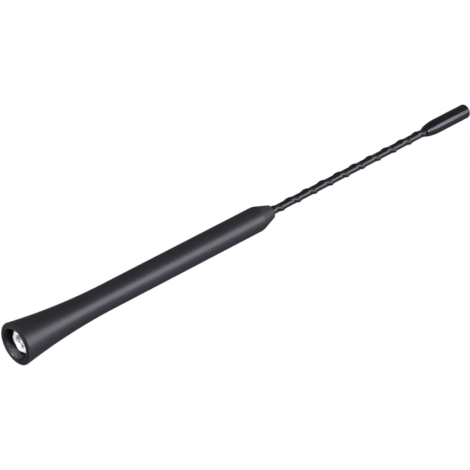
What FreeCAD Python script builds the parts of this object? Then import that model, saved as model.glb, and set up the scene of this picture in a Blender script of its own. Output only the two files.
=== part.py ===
import FreeCAD, Part
import math
import os

# Short screw-on antenna mast for a car: a moulded grip with a flared foot, a tapped metal insert
# in its mouth, a thin whip with one ridge winding round it, and a round-nosed cap.
# Millimetres. The mast stands along +Z, and the origin is the centre of the foot's rim.

Vector = FreeCAD.Vector
UP = Vector(0, 0, 1)

# Grip and its flared foot
grip_length = 149.8
grip_diameter = 12.2
flare_length = 52.0
rim_width = 2.85
rim_outer_round = 0.8
rim_inner_round = 0.4
recess_depth = 6.0
shoulder_length = 8.4
shoulder_end_wall = 1.45
shoulder_corner_round = 8.0
shoulder_end_round = 0.5

# Metal insert
hex_across_flats = 10.0
spanner_gap = 1.58
insert_face_depth = 3.0
tapped_hole_diameter = 5.0
tapped_depth = 11.0
countersink_width = 0.7
drill_point_angle = 118.0
insert_web = 3.5
neck_length = 9.0
neck_wall = 2.5
hex_end_chamfer = 0.35

# Rod, winding and wire
rod_diameter = 2.0
rod_socket_depth = 8.0
wire_diameter = 0.4
wire_sides = 8
coil_length = 110.0
wire_end_margin = 2.0

# Whip
whip_length = 101.4
sheath_wall = 0.41
sheath_root_length = 12.0
ridge_pitch = 10.46
ridge_height = 0.5
ridge_shoulder_height = 0.28
ridge_crest_half_angle = 12.0
ridge_shoulder_half_angle = 32.0
ridge_root_half_angle = 51.0
ridge_start_angle = 130.0

# Tip cap
cap_length = 28.8
cap_diameter = 7.15
cap_nose_length = 9.8
cap_mouth_wall = 0.45
cap_mouth_round = 0.25
cap_end_round = 1.2
cap_socket_depth = 21.0

# Fits
moulded_clearance = 0.05
wound_clearance = 0.02

# Radii that follow from the sizes above
rod_radius = rod_diameter / 2
wire_radius = wire_diameter / 2
wire_line_radius = rod_radius + wound_clearance + wire_radius
coil_radius = wire_line_radius + wire_radius
sheath_bore_radius = coil_radius + wound_clearance
sheath_radius = sheath_bore_radius + sheath_wall
sheath_hole_radius = sheath_radius + moulded_clearance
hex_corner_radius = hex_across_flats / math.sqrt(3)
recess_radius = hex_corner_radius + spanner_gap
mouth_radius = recess_radius + rim_width
grip_radius = grip_diameter / 2
shoulder_end_radius = sheath_hole_radius + shoulder_end_wall
tapped_radius = tapped_hole_diameter / 2
rod_socket_radius = rod_radius + wound_clearance
neck_radius = rod_socket_radius + neck_wall
cap_radius = cap_diameter / 2
cap_mouth_radius = sheath_hole_radius + cap_mouth_wall

# Heights that follow from the sizes above
drill_point_height = tapped_radius / math.tan(math.radians(drill_point_angle / 2))
tapped_end_z = insert_face_depth + tapped_depth
rod_start_z = tapped_end_z + drill_point_height + insert_web
insert_end_z = rod_start_z + rod_socket_depth
neck_start_z = insert_end_z - neck_length
coil_start_z = insert_end_z + wound_clearance
coil_end_z = coil_start_z + coil_length
wire_start_z = coil_end_z + wound_clearance
sheath_start_z = grip_length - sheath_root_length
ridge_start_z = grip_length + moulded_clearance
cap_start_z = grip_length + whip_length
ridge_end_z = cap_start_z - moulded_clearance
sheath_end_z = cap_start_z + cap_socket_depth
wire_end_z = sheath_end_z - wire_end_margin
cap_end_z = cap_start_z + cap_length


def at(radius, z):
    """Point of a turned outline."""
    return Vector(radius, 0, z)


def polar(radius, degrees, z=0.0):
    """Point at an angle round the mast's axis."""
    turn = math.radians(degrees)
    return Vector(radius * math.cos(turn), radius * math.sin(turn), z)


def line(start, end):
    return Part.makeLine(start, end)


def run_in_arc(tip, run_in):
    """Arc from an outline's tip that runs into a straight side at run_in, hollow if the tip is wider."""
    step_r = tip.x - run_in.x
    step_z = run_in.z - tip.z
    radius = (step_r ** 2 + step_z ** 2) / (2 * step_r)
    half_turn = math.asin(step_z / abs(radius)) / 2
    middle_r = run_in.x + radius * (1 - math.cos(half_turn))
    middle_z = run_in.z - abs(radius) * math.sin(half_turn)
    return Part.Arc(tip, at(middle_r, middle_z), run_in).toShape()


def turned(edges):
    """Solid of revolution about the mast's axis."""
    return Part.Face(Part.Wire(edges)).revolve(Vector(0, 0, 0), UP, 360)


def turned_polygon(points):
    return turned([line(a, b) for a, b in zip(points, points[1:] + points[:1])])


def rod_between(radius, start_z, end_z):
    return Part.makeCylinder(radius, end_z - start_z, at(0, start_z), UP)


def ring_edges(solid, radius, z):
    """Full-circle edges of a turned solid at a radius and height."""
    found = []
    for edge in solid.Edges:
        curve = edge.Curve
        if isinstance(curve, Part.Circle):
            if abs(curve.Radius - radius) < 1e-4 and abs(curve.Center.z - z) < 1e-4:
                found.append(edge)
    return found


def rounded(solid, size, radius, z):
    return solid.makeFillet(size, ring_edges(solid, radius, z))


def hexagon_prism(across_flats, start_z, end_z):
    """Hexagonal bar with two corners on the X axis."""
    corner = across_flats / math.sqrt(3)
    points = [polar(corner, 60 * step, start_z) for step in range(7)]
    return Part.Face(Part.makePolygon(points)).extrude(UP * (end_z - start_z))


def twisted_bar(section, start_z, end_z):
    """Bar along the axis whose section, drawn at its start, turns once to the right in each pitch."""
    spine = Part.Wire(line(at(0, start_z), at(0, end_z)))
    guide = Part.makeHelix(ridge_pitch, end_z - start_z, grip_radius)
    guide.translate(at(0, start_z))
    sweep = Part.BRepOffsetAPI.MakePipeShell(spine)
    sweep.setAuxiliarySpine(Part.Wire(guide.Edges), True, 0)
    sweep.add(section, False, False)
    sweep.build()
    sweep.makeSolid()
    return sweep.shape()


def ridge_angle(z):
    """Where the ridge's crest and the wire under it stand at a height, in degrees."""
    return ridge_start_angle + 360 * (z - ridge_start_z) / ridge_pitch


def ridge_section(z):
    """Level section of the ridge: a crest, two shoulders, and flanks that end inside the sheath's wall."""
    facing = ridge_angle(z)
    corners = [
        (sheath_radius - sheath_wall / 2, ridge_root_half_angle),
        (sheath_radius + ridge_shoulder_height, ridge_shoulder_half_angle),
        (sheath_radius + ridge_height, ridge_crest_half_angle),
    ]
    points = [polar(radius, facing - angle, z) for radius, angle in corners]
    points += [polar(radius, facing + angle, z) for radius, angle in reversed(corners)]
    return Part.makePolygon(points + points[:1])


def wire_section(z):
    """Level section of the wire, which is longer round the rod than across, because the wire leans."""
    lean = math.atan2(ridge_pitch, 2 * math.pi * wire_line_radius)
    turns = [2 * math.pi * (side + 0.5) / wire_sides for side in range(wire_sides + 1)]
    stretch = 1 / math.sin(lean)
    points = [Vector(math.cos(turn), stretch * math.sin(turn), 0) * wire_radius for turn in turns]
    section = Part.makePolygon(points)
    facing = ridge_angle(z)
    section.rotate(Vector(0, 0, 0), UP, facing)
    section.translate(polar(wire_line_radius, facing, z))
    return section


def base_grip():
    """Moulded sleeve: flared foot, straight grip, conical shoulder, and the spaces for what it holds."""
    rim = at(mouth_radius, 0)
    grip_start = at(grip_radius, flare_length)
    shoulder_start = at(grip_radius, grip_length - shoulder_length)
    shoulder_end = at(shoulder_end_radius, grip_length)
    chamber_radius = coil_radius + moulded_clearance
    inside = [
        shoulder_end,
        at(sheath_hole_radius, grip_length),
        at(sheath_hole_radius, sheath_start_z - moulded_clearance),
        at(chamber_radius, sheath_start_z - moulded_clearance),
        at(chamber_radius, insert_end_z + wound_clearance),
        at(neck_radius + moulded_clearance, insert_end_z + wound_clearance),
        at(neck_radius + moulded_clearance, recess_depth),
        at(recess_radius, recess_depth),
        at(recess_radius, 0),
        rim,
    ]
    outline = [run_in_arc(rim, grip_start), line(grip_start, shoulder_start)]
    outline += [line(shoulder_start, shoulder_end)]
    outline += [line(a, b) for a, b in zip(inside, inside[1:])]
    grip = turned(outline)
    grip = rounded(grip, rim_outer_round, mouth_radius, 0)
    grip = rounded(grip, rim_inner_round, recess_radius, 0)
    grip = rounded(grip, shoulder_corner_round, grip_radius, grip_length - shoulder_length)
    grip = rounded(grip, shoulder_end_round, shoulder_end_radius, grip_length)
    pocket_width = hex_across_flats + 2 * moulded_clearance
    return grip.cut(hexagon_prism(pocket_width, recess_depth, neck_start_z + moulded_clearance))


def hex_insert():
    """Hexagonal bar turned down to a neck, tapped from below and drilled from above for the rod."""
    inner_flat = hex_corner_radius - hex_end_chamfer
    blank = hexagon_prism(hex_across_flats, insert_face_depth, neck_start_z)
    chamfered = turned_polygon([
        at(0, insert_face_depth),
        at(inner_flat, insert_face_depth),
        at(hex_corner_radius, insert_face_depth + hex_end_chamfer),
        at(hex_corner_radius, neck_start_z),
        at(0, neck_start_z),
    ])
    neck = rod_between(neck_radius, neck_start_z, insert_end_z)
    blank = blank.common(chamfered).fuse(neck).removeSplitter()
    hole = turned_polygon([
        at(0, insert_face_depth),
        at(tapped_radius + countersink_width, insert_face_depth),
        at(tapped_radius, insert_face_depth + countersink_width),
        at(tapped_radius, tapped_end_z),
        at(0, tapped_end_z + drill_point_height),
    ])
    return blank.cut(hole).cut(rod_between(rod_socket_radius, rod_start_z, insert_end_z))


def core_rod():
    """Glass-fibre rod from the insert's socket to the end of the sheath."""
    return rod_between(rod_radius, rod_start_z, sheath_end_z)


def loading_coil():
    """Close-wound part of the wire, its turns touching, as one sleeve."""
    return rod_between(coil_radius, coil_start_z, coil_end_z).cut(
        rod_between(rod_radius + wound_clearance, coil_start_z, coil_end_z))


def radiating_wire():
    """Open-wound part of the wire, which climbs the rod under the ridge."""
    return twisted_bar(wire_section(wire_start_z), wire_start_z, wire_end_z)


def whip_sheath():
    """Sleeve over the wound rod, with the ridge where it shows and plain ends in the grip and the cap."""
    ridge = twisted_bar(ridge_section(ridge_start_z), ridge_start_z, ridge_end_z)
    sleeve = rod_between(sheath_radius, sheath_start_z, sheath_end_z).fuse(ridge)
    return sleeve.cut(rod_between(sheath_bore_radius, sheath_start_z, sheath_end_z))


def tip_cap():
    """Round-nosed cap, closed at its end, pushed over the sheath's plain end."""
    mouth = at(cap_mouth_radius, cap_start_z)
    nose_end = at(cap_radius, cap_start_z + cap_nose_length)
    socket_end_z = sheath_end_z + moulded_clearance
    rest = [
        nose_end,
        at(cap_radius, cap_end_z),
        at(0, cap_end_z),
        at(0, socket_end_z),
        at(sheath_hole_radius, socket_end_z),
        at(sheath_hole_radius, cap_start_z),
        mouth,
    ]
    cap = turned([run_in_arc(mouth, nose_end)] + [line(a, b) for a, b in zip(rest, rest[1:])])
    cap = rounded(cap, cap_mouth_round, cap_mouth_radius, cap_start_z)
    return rounded(cap, cap_end_round, cap_radius, cap_end_z)


pieces = {
    "base_grip": base_grip,
    "hex_insert": hex_insert,
    "core_rod": core_rod,
    "loading_coil": loading_coil,
    "radiating_wire": radiating_wire,
    "whip_sheath": whip_sheath,
    "tip_cap": tip_cap,
}

os.makedirs("parts", exist_ok=True)
for name, make in pieces.items():
    solid = make()
    solid.exportStep("parts/" + name + ".step")
    print(name, "solids", len(solid.Solids), "valid", solid.isValid(), "volume", round(solid.Volume, 2))
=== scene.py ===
import math

import bmesh
import bpy
from bpy.props import FloatProperty, FloatVectorProperty, IntProperty, PointerProperty
from mathutils import Matrix, Vector


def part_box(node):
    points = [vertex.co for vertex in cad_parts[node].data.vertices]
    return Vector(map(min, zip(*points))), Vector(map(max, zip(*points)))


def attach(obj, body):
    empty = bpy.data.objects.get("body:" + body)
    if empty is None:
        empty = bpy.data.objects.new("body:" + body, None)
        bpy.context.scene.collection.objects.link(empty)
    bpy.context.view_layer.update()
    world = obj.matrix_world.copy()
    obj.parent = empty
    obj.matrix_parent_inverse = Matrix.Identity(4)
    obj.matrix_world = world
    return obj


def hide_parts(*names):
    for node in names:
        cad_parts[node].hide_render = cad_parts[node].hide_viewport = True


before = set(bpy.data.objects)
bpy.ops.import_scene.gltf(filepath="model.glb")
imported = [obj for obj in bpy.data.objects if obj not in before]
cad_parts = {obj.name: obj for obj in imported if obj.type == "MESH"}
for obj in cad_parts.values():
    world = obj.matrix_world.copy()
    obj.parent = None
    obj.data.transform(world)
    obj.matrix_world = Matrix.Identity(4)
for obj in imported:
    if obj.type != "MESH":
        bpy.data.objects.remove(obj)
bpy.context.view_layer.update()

bl_info = {
    "name": "Antenna mast",
    "version": (1, 0, 0),
    "blender": (4, 5, 0),
    "location": "3D View > Sidebar > Antenna",
    "description": "Builds a screw-on car antenna mast piece by piece, with a stage to show it on",
    "category": "Object",
}

MM = 0.001
GRIP_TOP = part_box("base_grip")[1].z
INSERT_LOW, INSERT_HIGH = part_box("hex_insert")
ROD_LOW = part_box("core_rod")[0]
COIL_LOW, COIL_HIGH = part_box("loading_coil")
WIRE_LOW, WIRE_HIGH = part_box("radiating_wire")
SHEATH_LOW, SHEATH_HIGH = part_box("whip_sheath")
CAP_LOW, CAP_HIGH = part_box("tip_cap")

# Fineness of the meshes: points round a turned piece, and steps along each curved stretch
COLUMNS = 144
CORNER_STEPS = 8
FLARE_STEPS = 23
NOSE_STEPS = 14
THREAD_STEPS = 24
BORE_STEPS = 24

# Edges that turn by more than this stay crisp
SHARP_ANGLE = math.radians(28)

# Drawn wire over its full thickness, so that turns side by side stay apart
WIRE_FIT = 0.98

# How far the sheath's points are drawn together at the ridge
RIDGE_CROWDING = 0.6

# Shares of the thread's pitch that its crest and its root take up
CREST_FLAT = 0.25
ROOT_FLAT = 0.125

# Soft lamps: name, azimuth, elevation, width and height in degrees as seen from the mast, and brightness
LAMPS = (
    ("key", 20, 32, 36, 36, 5.9),
    ("key above", 20, 66, 36, 24, 1.5),
    ("key below", 20, 8, 36, 14, 6.8),
    ("key foot", 20, -8, 36, 16, 3.5),
    ("fill", 70, 25, 40, 50, 0.3),
    ("top", 0, 89, 60, 60, 0.5),
    ("under", -50, -28, 44, 34, 1.5),
    ("back", 180, 12, 26, 50, 3.0),
)

# Where the recess wall is lit, over the recess radius
LIT_WALL = Vector((0.42, 0.91, 0))

# Upward share of a direction where the studio begins to darken overhead, and where it is darkest
OVERHEAD = (0.7, 0.95)

# Camera's sensor, in millimetres
SENSOR_WIDTH = 36


def length(name, description, default):
    return FloatProperty(name=name, description=description, default=default, unit="LENGTH", precision=5)


def angle(name, description, degrees):
    return FloatProperty(name=name, description=description, default=math.radians(degrees),
                         subtype="ANGLE")


def amount(name, description, default):
    return FloatProperty(name=name, description=description, default=default)


def whole(name, description, default):
    return IntProperty(name=name, description=description, default=default)


def pixel(name, description, default):
    return FloatVectorProperty(name=name, description=description, default=default, size=2)


def colour(name, description, default):
    return FloatVectorProperty(name=name, description=description, default=default, subtype="COLOR",
                               min=0, max=1)


class GripSettings(bpy.types.PropertyGroup):
    """Moulded grip with its flared foot"""
    height: length("Height", "From the rim to the top of the shoulder", GRIP_TOP)
    radius: length("Radius", "Straight part of the grip", 6.1 * MM)
    mouth_radius: length("Mouth radius", "Foot's outside before its lip is rounded", 10.2 * MM)
    flare_height: length("Flare height", "Where the flare runs into the straight part", 52 * MM)
    lip_round: length("Lip round", "Outer edge of the rim", 0.8 * MM)
    mouth_round: length("Mouth round", "Inner edge of the rim", 0.4 * MM)
    recess_radius: length("Recess radius", "Round space in the foot", 7.35 * MM)
    recess_depth: length("Recess depth", "From the rim to the floor round the insert", 6 * MM)
    pocket_top: length("Pocket top", "Where the space for the hexagon ends", 18.05 * MM)
    shoulder_height: length("Shoulder height", "Cone at the top", 8.4 * MM)
    shoulder_radius: length("Shoulder radius", "Top of the cone", 3.35 * MM)
    shoulder_round: length("Shoulder round", "Soft corner at the cone's foot", 8 * MM)
    end_round: length("End round", "Edge at the cone's top", 0.5 * MM)
    hole_radius: length("Hole radius", "Hole for the sheath", 1.9 * MM)
    chamber_radius: length("Chamber radius", "Space round the loading coil", 1.47 * MM)
    clearance: length("Clearance", "Round the insert and the sheath", 0.05 * MM)
    tint: colour("Colour", "Grip's black", (0.0112, 0.0106, 0.0138))
    roughness: amount("Roughness", "Satin sheen", 0.41)
    sheen: colour("Sheen", "Hue of the reflections on all the black surfaces", (0.92, 0.885, 1.0))


class InsertSettings(bpy.types.PropertyGroup):
    """Tapped metal insert"""
    across_flats: length("Across flats", "Width of the hexagon", INSERT_HIGH.y - INSERT_LOW.y)
    face_z: length("Face", "Height of the lower face", INSERT_LOW.z)
    neck_z: length("Neck", "Where the hexagon ends", 18 * MM)
    top_z: length("Top", "Height of the upper face", INSERT_HIGH.z)
    neck_radius: length("Neck radius", "Round part above the hexagon", 3.52 * MM)
    chamfer: length("Chamfer", "Corners turned off the lower face", 0.35 * MM)
    edge: length("Edge", "Small chamfers at the upper end", 0.15 * MM)
    corner_round: length("Corner wear", "Taken off the hexagon's long edges", 0.06 * MM)
    minor_radius: length("Minor radius", "Crests of the thread", 2.5 * MM)
    major_radius: length("Major radius", "Roots of the thread", 3 * MM)
    thread_pitch: length("Thread pitch", "Rise in one turn of the thread", 1 * MM)
    thread_end: length("Thread end", "Where the thread runs out", 13.4 * MM)
    hole_end: length("Hole end", "Where the drill's point begins", 14 * MM)
    drill_point: length("Drill point", "Height of the cone left by the drill", 1.5 * MM)
    countersink: length("Countersink", "Width of the cone at the hole's edge", 0.7 * MM)
    socket_radius: length("Socket radius", "Hole for the rod", 1.02 * MM)
    tint: colour("Colour", "Plated metal", (0.93, 0.93, 0.93))
    roughness: amount("Roughness", "Bright plate", 0.42)


class WindingSettings(bpy.types.PropertyGroup):
    """Rod, loading coil and wire"""
    wire_radius: length("Wire radius", "Half the wire's thickness", 0.2 * MM)
    line_radius: length("Line radius", "From the axis to the middle of the wire", COIL_HIGH.x - 0.2 * MM)
    wire_sides: whole("Wire sides", "Points round the wire", 8)
    coil_steps: whole("Coil steps", "Points in a turn of the coil", 32)
    wire_steps: whole("Wire steps", "Points in a turn of the open wire", 64)
    rod_tint: colour("Rod colour", "Glass fibre in resin", (0.72, 0.68, 0.5))
    wire_tint: colour("Wire colour", "Enamelled copper", (0.72, 0.36, 0.2))


class SheathSettings(bpy.types.PropertyGroup):
    """Whip's sleeve with its winding ridge"""
    radius: length("Radius", "Sleeve between the ridge's turns", 1.85 * MM)
    bore_radius: length("Bore radius", "Inside of the sleeve", 1.44 * MM)
    ridge_height: length("Ridge height", "Crest above the sleeve", 0.43 * MM)
    ridge_pitch: length("Ridge pitch", "Rise in one turn of the ridge", 10.46 * MM)
    ridge_spread: angle("Ridge spread", "From the crest to where the ridge has run out", 70)
    ridge_angle: angle("Ridge angle", "Where the ridge leaves the grip", 130)
    columns: whole("Columns", "Points round the sleeve", 72)
    rows: whole("Rows", "Rows in one turn of the ridge", 40)
    tint: colour("Colour", "Sleeve's black", (0.0046, 0.0044, 0.006))
    roughness: amount("Roughness", "Semi-gloss", 0.27)


class CapSettings(bpy.types.PropertyGroup):
    """Round-nosed cap"""
    radius: length("Radius", "Straight part of the cap", CAP_HIGH.x)
    nose_height: length("Nose height", "Where the nose runs into the straight part", 8 * MM)
    mouth_radius: length("Mouth radius", "Lower end of the nose", 2.5 * MM)
    mouth_round: length("Mouth round", "Lower edge", 0.25 * MM)
    end_round: length("End round", "Edge of the closed end", 1.2 * MM)
    tint: colour("Colour", "Cap's black", (0.0046, 0.0044, 0.006))
    roughness: amount("Roughness", "Gloss", 0.19)


class StageSettings(bpy.types.PropertyGroup):
    """Camera, lamps and floor"""
    image_size: whole("Image size", "Pixels along the photo's side", 470)
    base_pixel: pixel("Base pixel", "Rim's centre in the photo", (14.87, 344.62))
    tip_pixel: pixel("Tip pixel", "Middle of the cap's end in the photo", (465.7, 110.6))
    depth_ratio: amount("Depth ratio", "Tip's distance from the camera over the rim's", 1.138)
    lens: amount("Lens", "Focal length on a 36 mm sensor, in millimetres", 200)
    floor_radius: length("Floor radius", "Where the floor has faded out", 0.75)
    floor_fade: length("Floor fade", "Where the floor begins to fade", 0.1)
    floor_hole: length("Floor hole", "Opening under the mouth, hidden by the lip", 9.6 * MM)
    floor_tint: colour("Floor colour", "Pale floor", (0.96, 0.96, 0.96))
    lamp_distance: length("Lamp distance", "From the mast's middle to each lamp", 1.2)
    lamp_tint: colour("Lamp colour", "Cool daylight", (0.96, 0.97, 1.0))
    spot_distance: length("Spot distance", "From the mouth to each narrow lamp", 0.6)
    spot_radius: length("Spot radius", "Half the width of each narrow lamp", 1.5 * MM)
    spot_blend: amount("Spot blend", "Share of each narrow beam that fades to its edge", 0.4)
    ambient: amount("Ambient", "Light from all round on rough surfaces", 0.42)
    mirror_side: amount("Side reflection", "What glossy surfaces see at the sides", 0.15)
    mirror_top: amount("Upper reflection", "What glossy surfaces see overhead", 0.04)


class AntennaSettings(bpy.types.PropertyGroup):
    """All sizes and colours of the mast"""
    grip: PointerProperty(type=GripSettings)
    insert: PointerProperty(type=InsertSettings)
    winding: PointerProperty(type=WindingSettings)
    sheath: PointerProperty(type=SheathSettings)
    cap: PointerProperty(type=CapSettings)
    stage: PointerProperty(type=StageSettings)


# Surfaces

class Field:
    """Output of a shader node; sums and products with it add Math nodes."""

    def __init__(self, graph, socket):
        self.graph = graph
        self.socket = socket

    def math(self, operation, *values):
        return self.graph.node("ShaderNodeMath", dict(enumerate(values)), operation=operation)

    def __add__(self, other):
        return self.math("ADD", self, other)

    def __radd__(self, other):
        return self.math("ADD", other, self)

    def __sub__(self, other):
        return self.math("SUBTRACT", self, other)

    def __rsub__(self, other):
        return self.math("SUBTRACT", other, self)

    def __mul__(self, other):
        return self.math("MULTIPLY", self, other)

    def __rmul__(self, other):
        return self.math("MULTIPLY", other, self)

    def between(self, low, high):
        """0 below low, 1 above high, and smooth in between."""
        return self.graph.node("ShaderNodeMapRange", {0: self, 1: low, 2: high},
                               interpolation_type="SMOOTHSTEP")


class Graph:
    """Node tree of a material or of the world."""

    def __init__(self, owner):
        owner.use_nodes = True
        self.tree = owner.node_tree
        self.tree.nodes.clear()

    def node(self, kind, inputs=None, output=0, **settings):
        """New node: its settings come first, then its sockets' values or links; gives one of its outputs."""
        made = self.tree.nodes.new(kind)
        for name, value in settings.items():
            setattr(made, name, value)
        for key, value in (inputs or {}).items():
            if isinstance(value, Field):
                self.tree.links.new(value.socket, made.inputs[key])
            else:
                made.inputs[key].default_value = value
        return Field(self, made.outputs[output]) if made.outputs else None

    def place(self, stretch=(1, 1, 1)):
        """Point on the piece in its own frame, stretched along each axis."""
        point = self.node("ShaderNodeTexCoord", output="Object")
        return self.node("ShaderNodeVectorMath", {0: point, 1: stretch}, operation="MULTIPLY")

    def from_axis(self):
        """Distance of the point on the piece from the mast's axis."""
        level = {0: self.place((1, 1, 0))}
        return self.node("ShaderNodeVectorMath", level, output="Value", operation="LENGTH")

    def noise(self, scale, detail, stretch=(1, 1, 1)):
        inputs = {"Vector": self.place(stretch), "Scale": scale, "Detail": detail}
        return self.node("ShaderNodeTexNoise", inputs)

    def blend(self, factor, low, high):
        """Colour between two colours."""
        inputs = {0: factor, 6: low, 7: high}
        return self.node("ShaderNodeMix", inputs, output=2, data_type="RGBA")

    def mix(self, factor, low, high):
        """Shader between two shaders."""
        return self.node("ShaderNodeMixShader", {0: factor, 1: low, 2: high})

    def bump(self, height, distance, strength):
        inputs = {"Height": height, "Distance": distance, "Strength": strength}
        return self.node("ShaderNodeBump", inputs)

    def surface(self, **inputs):
        """Principled shader on the output; keyword names are its sockets with underscores for spaces."""
        named = {key.replace("_", " "): value for key, value in inputs.items()}
        shader = self.node("ShaderNodeBsdfPrincipled", named)
        self.node("ShaderNodeOutputMaterial", {"Surface": shader})


def shade(tint, factor=1.0):
    return (tint[0] * factor, tint[1] * factor, tint[2] * factor, 1.0)


def moulded(name, piece, sheen, grain, relief):
    """Moulded black in a piece's tint and roughness: cloudy tone, fine grain and a few pale specks."""
    material = bpy.data.materials.new(name)
    graph = Graph(material)
    cloud = graph.noise(scale=45, detail=3)
    fine = graph.noise(scale=grain, detail=2)
    specks = graph.noise(scale=grain * 0.4, detail=0).between(0.74, 0.8)
    tone = graph.blend(cloud.between(0.3, 0.7), shade(piece.tint, 0.88), shade(piece.tint, 1.12))
    tone = graph.blend(specks * 0.25, tone, shade(piece.tint, 2.5))
    graph.surface(
        Base_Color=tone,
        Roughness=piece.roughness - 0.05 + cloud * 0.06 + fine * 0.05,
        Normal=graph.bump(fine, distance=relief, strength=0.25),
        IOR=1.5,
        Specular_Tint=shade(sheen),
    )
    return material


def plated(name, piece):
    """Bright plate over turned and drawn metal: rings on the face, and lines along the flats."""
    material = bpy.data.materials.new(name)
    graph = Graph(material)
    rings = graph.node("ShaderNodeTexNoise", {"W": graph.from_axis() * 9000, "Scale": 1.0, "Detail": 1},
                       noise_dimensions="1D")
    drawn = graph.noise(scale=2500, detail=2, stretch=(1, 1, 0.03))
    cloud = graph.noise(scale=300, detail=2)
    graph.surface(
        Base_Color=graph.blend(cloud, shade(piece.tint, 0.93), shade(piece.tint)),
        Metallic=1.0,
        Roughness=piece.roughness - 0.05 + rings * 0.06 + drawn * 0.06,
        Normal=graph.bump(rings + drawn, distance=0.004 * MM, strength=0.4),
    )
    return material


def glass_fibre(name, tint):
    """Pulled rod: fibres along it in clear resin."""
    material = bpy.data.materials.new(name)
    graph = Graph(material)
    fibres = graph.noise(scale=9000, detail=3, stretch=(1, 1, 0.01))
    graph.surface(
        Base_Color=graph.blend(fibres.between(0.35, 0.65), shade(tint, 0.7), shade(tint, 1.1)),
        Roughness=0.3 + fibres * 0.15,
        Normal=graph.bump(fibres, distance=0.01 * MM, strength=0.3),
        IOR=1.5,
        Coat_Weight=0.3,
    )
    return material


def enamelled(name, tint):
    """Copper wire under thin enamel."""
    material = bpy.data.materials.new(name)
    graph = Graph(material)
    stains = graph.noise(scale=160, detail=3)
    fine = graph.noise(scale=5000, detail=1)
    graph.surface(
        Base_Color=graph.blend(stains.between(0.35, 0.7), shade(tint, 0.75), shade(tint, 1.1)),
        Metallic=1.0,
        Roughness=0.22 + fine * 0.1,
        Coat_Weight=0.6,
    )
    return material


# Forms

def ring(radius, z):
    """Level ring of points; radius is a number or a function of the angle."""
    points = []
    for step in range(COLUMNS):
        turn = math.tau * step / COLUMNS
        out = radius(turn) if callable(radius) else radius
        points.append(Vector((out * math.cos(turn), out * math.sin(turn), z)))
    return points


def hexagon(across_flats, limit=math.inf):
    """Radius of a hexagon with two corners on the X axis; its corners are cut off at limit."""
    def radius(turn):
        return min(across_flats / 2 / math.cos(turn % (math.pi / 3) - math.pi / 6), limit)
    return radius


def tip(z):
    return [Vector((0, 0, z))]


def arc(centre, size, start, turn, steps):
    bearings = [start + turn * step / steps for step in range(steps + 1)]
    return [centre + size * Vector((math.cos(bearing), math.sin(bearing))) for bearing in bearings]


def outline(corners):
    """Turned outline through corners (radius, height, rounding), with an arc at each rounded corner."""
    points = []
    for index, (radius, z, size) in enumerate(corners):
        here = Vector((radius, z))
        if not size:
            points.append(here)
            continue
        before = (Vector(corners[index - 1][:2]) - here).normalized()
        after = (Vector(corners[(index + 1) % len(corners)][:2]) - here).normalized()
        half = before.angle(after) / 2
        centre = here + (before + after).normalized() * (size / math.sin(half))
        start = here + before * (size / math.tan(half)) - centre
        end = here + after * (size / math.tan(half)) - centre
        first = math.atan2(start.y, start.x)
        turn = (math.atan2(end.y, end.x) - first + math.pi) % math.tau - math.pi
        points += arc(centre, size, first, turn, CORNER_STEPS)
    return points


def run_in(tip_radius, tip_z, end_radius, end_z, steps):
    """Corners of an arc from a tip that runs smoothly into a straight side, without its first point."""
    step_r = tip_radius - end_radius
    step_z = end_z - tip_z
    size = (step_r ** 2 + step_z ** 2) / (2 * step_r)
    corners = []
    for step in range(1, steps + 1):
        down = step_z * (1 - step / steps)
        inward = math.copysign(math.sqrt(size ** 2 - down ** 2), size)
        corners.append((end_radius + size - inward, end_z - down, 0))
    return corners


def turned(points):
    return [ring(radius, z) for radius, z in points]


def skin(name, rows, closed=False):
    """Mesh through rings of points.

    A ring of one point is a tip, and closed joins the last ring to the first.
    """
    vertices = []
    starts = []
    for row in rows:
        starts.append(len(vertices))
        vertices += row
    faces = []
    order = list(range(len(rows))) + ([0] if closed else [])
    for a, b in zip(order, order[1:]):
        count = max(len(rows[a]), len(rows[b]))
        for step in range(count):
            face = []
            for row, place in ((a, step), (a, step + 1), (b, step + 1), (b, step)):
                corner = starts[row] + place % len(rows[row])
                if corner not in face:
                    face.append(corner)
            faces.append(face)
    mesh = bpy.data.meshes.new(name)
    mesh.from_pydata(vertices, [], faces)
    shell = bmesh.new()
    shell.from_mesh(mesh)
    bmesh.ops.recalc_face_normals(shell, faces=shell.faces)
    shell.to_mesh(mesh)
    shell.free()
    mesh.shade_smooth()
    mesh.set_sharp_from_angle(angle=SHARP_ANGLE)
    made = bpy.data.objects.new(name, mesh)
    bpy.context.scene.collection.objects.link(made)
    return made


def helix_rows(winding, low_z, high_z, pitch, start, steps):
    """Rings along a wire that climbs to the right round the axis, with a tip at each end."""
    low_z += winding.wire_radius
    high_z -= winding.wire_radius
    wire_radius = winding.wire_radius * WIRE_FIT
    line_radius = winding.line_radius
    turns = (high_z - low_z) / pitch
    count = math.ceil(turns * steps)
    slope = pitch / math.tau
    lean = math.hypot(line_radius, slope)
    sides = [math.tau * index / winding.wire_sides for index in range(winding.wire_sides)]
    rows = []
    for step in range(count + 1):
        turn = start + math.tau * turns * step / count
        outward = Vector((math.cos(turn), math.sin(turn), 0))
        upward = Vector((slope * math.sin(turn), -slope * math.cos(turn), line_radius)) / lean
        middle = outward * line_radius + Vector((0, 0, low_z + slope * (turn - start)))
        rows.append([middle + wire_radius * (math.cos(side) * outward + math.sin(side) * upward)
                     for side in sides])
        if step in (0, count):
            rows.insert(len(rows) - (step == 0), [middle])
    return rows


def away(azimuth, elevation):
    """Direction from the mast to a lamp, from degrees; azimuth 0 is its front, -Y, and grows towards +X."""
    around = math.radians(azimuth)
    rise = math.radians(elevation)
    level = math.cos(rise)
    return Vector((math.sin(around) * level, -math.cos(around) * level, math.sin(rise)))


def install(piece, node, material):
    """Stands the piece in for its CAD node."""
    piece.data.materials.append(material)
    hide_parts(node)
    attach(piece, "root")


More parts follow.
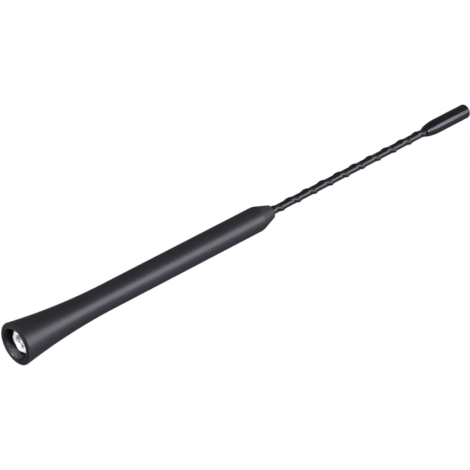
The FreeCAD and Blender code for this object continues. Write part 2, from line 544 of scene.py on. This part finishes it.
def finish_node(node, material):
    """Gives a CAD node that stays its finish."""
    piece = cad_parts[node]
    piece.data.materials.clear()
    piece.data.materials.append(material)


class ANTENNA_OT_grip(bpy.types.Operator):
    """Build the moulded grip"""
    bl_idname = "antenna.grip"
    bl_label = "Grip"

    def execute(self, context):
        grip = context.scene.antenna.grip
        insert = context.scene.antenna.insert
        pocket = hexagon(insert.across_flats + 2 * grip.clearance)
        neck = insert.neck_radius + grip.clearance
        seat = SHEATH_LOW.z - grip.clearance
        corners = [
            (grip.recess_radius, grip.recess_depth, 0),
            (grip.recess_radius, 0, grip.mouth_round),
            (grip.mouth_radius, 0, grip.lip_round),
        ]
        corners += run_in(grip.mouth_radius, 0, grip.radius, grip.flare_height, FLARE_STEPS)
        corners += [
            (grip.radius, grip.height - grip.shoulder_height, grip.shoulder_round),
            (grip.shoulder_radius, grip.height, grip.end_round),
            (grip.hole_radius, grip.height, 0),
            (grip.hole_radius, seat, 0),
            (grip.chamber_radius, seat, 0),
            (grip.chamber_radius, COIL_LOW.z, 0),
            (neck, COIL_LOW.z, 0),
            (neck, grip.pocket_top, 0),
        ]
        rows = turned(outline(corners)) + [ring(pocket, grip.pocket_top), ring(pocket, grip.recess_depth)]
        material = moulded("grip rubber", grip, grip.sheen, grain=3500, relief=0.02 * MM)
        install(skin("grip", rows, closed=True), "base_grip", material)
        return {"FINISHED"}


class ANTENNA_OT_insert(bpy.types.Operator):
    """Build the tapped hexagonal insert"""
    bl_idname = "antenna.insert"
    bl_label = "Insert"

    def execute(self, context):
        insert = context.scene.antenna.insert
        rows = [tip(insert.hole_end + insert.drill_point)] + self.thread(insert) + self.hexagon_foot(insert)
        edge = insert.edge
        rows += turned([
            (insert.neck_radius, insert.neck_z),
            (insert.neck_radius, insert.top_z - edge),
            (insert.neck_radius - edge, insert.top_z),
            (insert.socket_radius + edge, insert.top_z),
            (insert.socket_radius, insert.top_z - edge),
            (insert.socket_radius, ROD_LOW.z),
        ])
        rows.append(tip(ROD_LOW.z))
        material = plated("nickel plate", insert)
        install(skin("insert", rows), "hex_insert", material)
        return {"FINISHED"}

    def thread(self, insert):
        """Rings down the tapped hole, with its countersink."""
        depth = insert.major_radius - insert.minor_radius
        rim_radius = insert.minor_radius + insert.countersink
        half_groove = (1 - CREST_FLAT) / 2
        flank_width = half_groove - ROOT_FLAT / 2

        def threaded(z):
            cone = rim_radius - (z - insert.face_z)
            run_out = min(1, max(0, (insert.thread_end - z) / insert.thread_pitch))

            def radius(turn):
                phase = (z / insert.thread_pitch - turn / math.tau) % 1
                flank = min(1, max(0, (half_groove - abs(phase - 0.5)) / flank_width))
                return max(insert.minor_radius + depth * flank * run_out, cone)
            return radius

        steps = round((insert.hole_end - insert.face_z) / insert.thread_pitch * THREAD_STEPS)
        heights = [insert.hole_end + (insert.face_z - insert.hole_end) * step / steps
                   for step in range(steps + 1)]
        return [ring(threaded(z), z) for z in heights]

    def hexagon_foot(self, insert):
        """Rings from the lower face, over its turned corners, up to the neck."""
        corner = insert.across_flats / math.sqrt(3)
        worn = corner - insert.corner_round
        rows = []
        for step in range(CORNER_STEPS + 1):
            cut = insert.chamfer * step / CORNER_STEPS
            limit = min(worn, corner - insert.chamfer + cut)
            rows.append(ring(hexagon(insert.across_flats, limit), insert.face_z + cut))
        rows.append(ring(hexagon(insert.across_flats, worn), insert.neck_z))
        return rows


class ANTENNA_OT_winding(bpy.types.Operator):
    """Finish the rod and wind the coil and the open wire round it"""
    bl_idname = "antenna.winding"
    bl_label = "Rod and winding"

    def execute(self, context):
        winding = context.scene.antenna.winding
        sheath = context.scene.antenna.sheath
        finish_node("core_rod", glass_fibre("glass fibre", winding.rod_tint))
        copper = enamelled("enamelled copper", winding.wire_tint)
        coil = helix_rows(winding, COIL_LOW.z, COIL_HIGH.z, 2 * winding.wire_radius, 0, winding.coil_steps)
        install(skin("loading_turns", coil), "loading_coil", copper)
        start = sheath.ridge_angle + math.tau * (WIRE_LOW.z - GRIP_TOP) / sheath.ridge_pitch
        wire = helix_rows(winding, WIRE_LOW.z, WIRE_HIGH.z, sheath.ridge_pitch, start, winding.wire_steps)
        install(skin("open_wire", wire), "radiating_wire", copper)
        return {"FINISHED"}


class ANTENNA_OT_sheath(bpy.types.Operator):
    """Build the whip's sleeve with its winding ridge"""
    bl_idname = "antenna.sheath"
    bl_label = "Sheath"

    def execute(self, context):
        sheath = context.scene.antenna.sheath
        grip = context.scene.antenna.grip
        low = GRIP_TOP + grip.clearance
        high = CAP_LOW.z - grip.clearance
        even = [math.tau * (step / sheath.columns - 0.5) for step in range(sheath.columns)]
        spread = [turn - RIDGE_CROWDING * math.sin(turn) for turn in even]

        def row(z, facing, radius, height=0):
            """Ring whose ridge, of the given height, faces one way."""
            points = []
            for turn in spread:
                rise = math.cos(min(1, abs(turn) / sheath.ridge_spread) * math.pi / 2) ** 2
                out = radius + height * rise
                points.append(Vector((out * math.cos(facing + turn), out * math.sin(facing + turn), z)))
            return points

        turns = (high - low) / sheath.ridge_pitch
        first = sheath.ridge_angle
        last = first + math.tau * turns
        rows = [
            row(SHEATH_LOW.z, first, sheath.bore_radius),
            row(SHEATH_LOW.z, first, sheath.radius),
            row(low, first, sheath.radius),
        ]
        count = math.ceil(turns * sheath.rows)
        for step in range(count + 1):
            z = low + (high - low) * step / count
            facing = first + math.tau * turns * step / count
            rows.append(row(z, facing, sheath.radius, sheath.ridge_height))
        rows += [row(high, last, sheath.radius), row(SHEATH_HIGH.z, last, sheath.radius)]
        # The bore turns its points back by what is over from whole turns, to meet the first ring
        over = (turns + 0.5) % 1 - 0.5
        for step in range(BORE_STEPS):
            share = step / BORE_STEPS
            z = SHEATH_HIGH.z + (SHEATH_LOW.z - SHEATH_HIGH.z) * share
            rows.append(row(z, last - math.tau * over * share, sheath.bore_radius))
        material = moulded("sheath rubber", sheath, grip.sheen, grain=5000, relief=0.008 * MM)
        install(skin("sheath", rows, closed=True), "whip_sheath", material)
        return {"FINISHED"}


class ANTENNA_OT_cap(bpy.types.Operator):
    """Build the round-nosed cap"""
    bl_idname = "antenna.cap"
    bl_label = "Cap"

    def execute(self, context):
        cap = context.scene.antenna.cap
        grip = context.scene.antenna.grip
        hole = grip.hole_radius
        socket_top = SHEATH_HIGH.z + grip.clearance
        inner_ring = 0.4 * cap.radius
        corners = [
            (hole, socket_top, 0),
            (hole, CAP_LOW.z, 0),
            (cap.mouth_radius, CAP_LOW.z, cap.mouth_round),
        ]
        corners += run_in(cap.mouth_radius, CAP_LOW.z, cap.radius, CAP_LOW.z + cap.nose_height, NOSE_STEPS)
        corners += [(cap.radius, CAP_HIGH.z, cap.end_round), (inner_ring, CAP_HIGH.z, 0)]
        rows = [tip(socket_top)] + turned(outline(corners)) + [tip(CAP_HIGH.z)]
        material = moulded("cap plastic", cap, grip.sheen, grain=5000, relief=0.006 * MM)
        install(skin("cap", rows), "tip_cap", material)
        return {"FINISHED"}


class ANTENNA_OT_stage(bpy.types.Operator):
    """Set up the camera of the photo, the floor, the world and the lamps"""
    bl_idname = "antenna.stage"
    bl_label = "Stage"

    def execute(self, context):
        stage = context.scene.antenna.stage
        self.camera(context, stage)
        self.floor(context, stage)
        self.world(context, stage)
        for lamp in LAMPS:
            self.lamp(context, stage, *lamp)
        wall = LIT_WALL * context.scene.antenna.grip.recess_radius
        # Narrow lamps: name, aim, azimuth, elevation, radius of the lit patch, and power in watts
        for spot in (
            ("insert spot", Vector((0, 0, INSERT_LOW.z)), 180, -70, 5.8 * MM, 15),
            ("recess spot", wall + Vector((0, 0, 1.9 * MM)), -48, -16, 2.3 * MM, 42),
            ("hole spot", Vector((0, 0, 4.5 * MM)), -25, -34, 2.6 * MM, 24),
        ):
            self.spot(context, stage, *spot)
        return {"FINISHED"}

    def camera(self, context, stage):
        """Camera that sees the rim's centre and the tip at their pixels, with the mast's front to it."""
        data = bpy.data.cameras.new("camera")
        data.lens = stage.lens
        data.sensor_width = SENSOR_WIDTH
        data.clip_start = 0.05
        data.clip_end = 50
        focal = stage.lens / SENSOR_WIDTH * stage.image_size
        middle = stage.image_size / 2

        def ray(place):
            return Vector(((place[0] - middle) / focal, (middle - place[1]) / focal, -1))

        base_ray = ray(stage.base_pixel)
        along = ray(stage.tip_pixel) * stage.depth_ratio - base_ray
        base = base_ray * (CAP_HIGH.z / along.length)
        up = along.normalized()
        front = -base - up * (-base).dot(up)
        back = -front.normalized()
        to_mast = Matrix((back.cross(up), back, up))
        camera = bpy.data.objects.new("camera", data)
        camera.matrix_world = Matrix.Translation(to_mast @ -base) @ to_mast.to_4x4()
        context.scene.collection.objects.link(camera)
        context.scene.camera = camera

    def floor(self, context, stage):
        """Pale floor seen only from above, with an opening under the mouth."""
        rows = [ring(stage.floor_hole, 0), ring(stage.floor_fade, 0), ring(stage.floor_radius, 0)]
        vertices = [point for row in rows for point in row]
        faces = []
        for row in range(len(rows) - 1):
            inner = row * COLUMNS
            outer = inner + COLUMNS
            for step in range(COLUMNS):
                side = (step + 1) % COLUMNS
                faces.append([inner + step, outer + step, outer + side, inner + side])
        mesh = bpy.data.meshes.new("floor")
        mesh.from_pydata(vertices, [], faces)
        floor = bpy.data.objects.new("floor", mesh)
        context.scene.collection.objects.link(floor)
        material = bpy.data.materials.new("floor")
        graph = Graph(material)
        grain = graph.noise(scale=400, detail=3)
        tone = graph.blend(grain, shade(stage.floor_tint, 0.985), shade(stage.floor_tint))
        dull = {"Base Color": tone, "Roughness": 1, "Specular IOR Level": 0}
        top = graph.node("ShaderNodeBsdfPrincipled", dull)
        clear = graph.node("ShaderNodeBsdfTransparent")
        below = graph.node("ShaderNodeNewGeometry", output="Backfacing")
        far = graph.from_axis().between(stage.floor_fade, stage.floor_radius)
        shown = graph.mix(1 - (1 - below) * (1 - far), top, clear)
        graph.node("ShaderNodeOutputMaterial", {"Surface": shown})
        mesh.materials.append(material)

    def world(self, context, stage):
        """White to the camera and through clear pieces; a dim studio to glossy surfaces."""
        world = bpy.data.worlds.new("studio")
        context.scene.world = world
        graph = Graph(world)

        def glow(level):
            return graph.node("ShaderNodeBackground", {"Color": (1, 1, 1, 1), "Strength": level})

        def path(ray):
            return graph.node("ShaderNodeLightPath", output=ray)

        direction = graph.node("ShaderNodeTexCoord", output="Generated")
        high = graph.node("ShaderNodeSeparateXYZ", {0: direction}, output="Z").between(*OVERHEAD)
        mirror = graph.mix(high, glow(stage.mirror_side), glow(stage.mirror_top))
        light = graph.mix(path("Is Glossy Ray"), glow(stage.ambient), mirror)
        seen = 1 - (1 - path("Is Camera Ray")) * (1 - path("Is Transmission Ray"))
        graph.node("ShaderNodeOutputWorld", {"Surface": graph.mix(seen, light, glow(1))})

    def lamp(self, context, stage, name, azimuth, elevation, width, height, level):
        """Soft lamp by its place, spread and brightness as seen from the mast's middle."""
        data = bpy.data.lights.new(name, "AREA")
        data.shape = "RECTANGLE"
        data.size = 2 * stage.lamp_distance * math.tan(math.radians(width) / 2)
        data.size_y = 2 * stage.lamp_distance * math.tan(math.radians(height) / 2)
        data.energy = level * math.pi * data.size * data.size_y
        middle = Vector((0, 0, CAP_HIGH.z / 2))
        self.hang(context, stage, data, middle, away(azimuth, elevation) * stage.lamp_distance)

    def spot(self, context, stage, name, aim, azimuth, elevation, radius, power):
        """Narrow lamp from below, through the mouth, that lights a round patch at aim."""
        data = bpy.data.lights.new(name, "SPOT")
        data.energy = power
        data.spot_size = 2 * math.atan(radius / stage.spot_distance)
        data.spot_blend = stage.spot_blend
        data.shadow_soft_size = stage.spot_radius
        self.hang(context, stage, data, aim, away(azimuth, elevation) * stage.spot_distance)

    def hang(self, context, stage, data, aim, offset):
        """Puts a light at an offset from aim, turned to it and out of the camera's sight."""
        data.color = stage.lamp_tint
        light = bpy.data.objects.new(data.name, data)
        light.location = aim + offset
        light.rotation_euler = offset.to_track_quat("Z", "Y").to_euler()
        light.visible_camera = False
        context.scene.collection.objects.link(light)


OPERATORS = (ANTENNA_OT_grip, ANTENNA_OT_insert, ANTENNA_OT_winding, ANTENNA_OT_sheath, ANTENNA_OT_cap,
             ANTENNA_OT_stage)


class ANTENNA_PT_mast(bpy.types.Panel):
    """Steps that build the mast"""
    bl_idname = "ANTENNA_PT_mast"
    bl_label = "Antenna mast"
    bl_space_type = "VIEW_3D"
    bl_region_type = "UI"
    bl_category = "Antenna"

    def draw(self, context):
        for operator in OPERATORS:
            self.layout.operator(operator.bl_idname)


CLASSES = (GripSettings, InsertSettings, WindingSettings, SheathSettings, CapSettings, StageSettings,
           AntennaSettings, ANTENNA_PT_mast) + OPERATORS


def register():
    for item in CLASSES:
        bpy.utils.register_class(item)
    bpy.types.Scene.antenna = PointerProperty(type=AntennaSettings)


def unregister():
    del bpy.types.Scene.antenna
    for item in reversed(CLASSES):
        bpy.utils.unregister_class(item)


def main():
    register()
    bpy.context.scene.view_settings.view_transform = "Standard"
    bpy.ops.antenna.grip()
    bpy.ops.antenna.insert()
    bpy.ops.antenna.winding()
    bpy.ops.antenna.sheath()
    bpy.ops.antenna.cap()
    bpy.ops.antenna.stage()


if __name__ == "__main__":
    main()
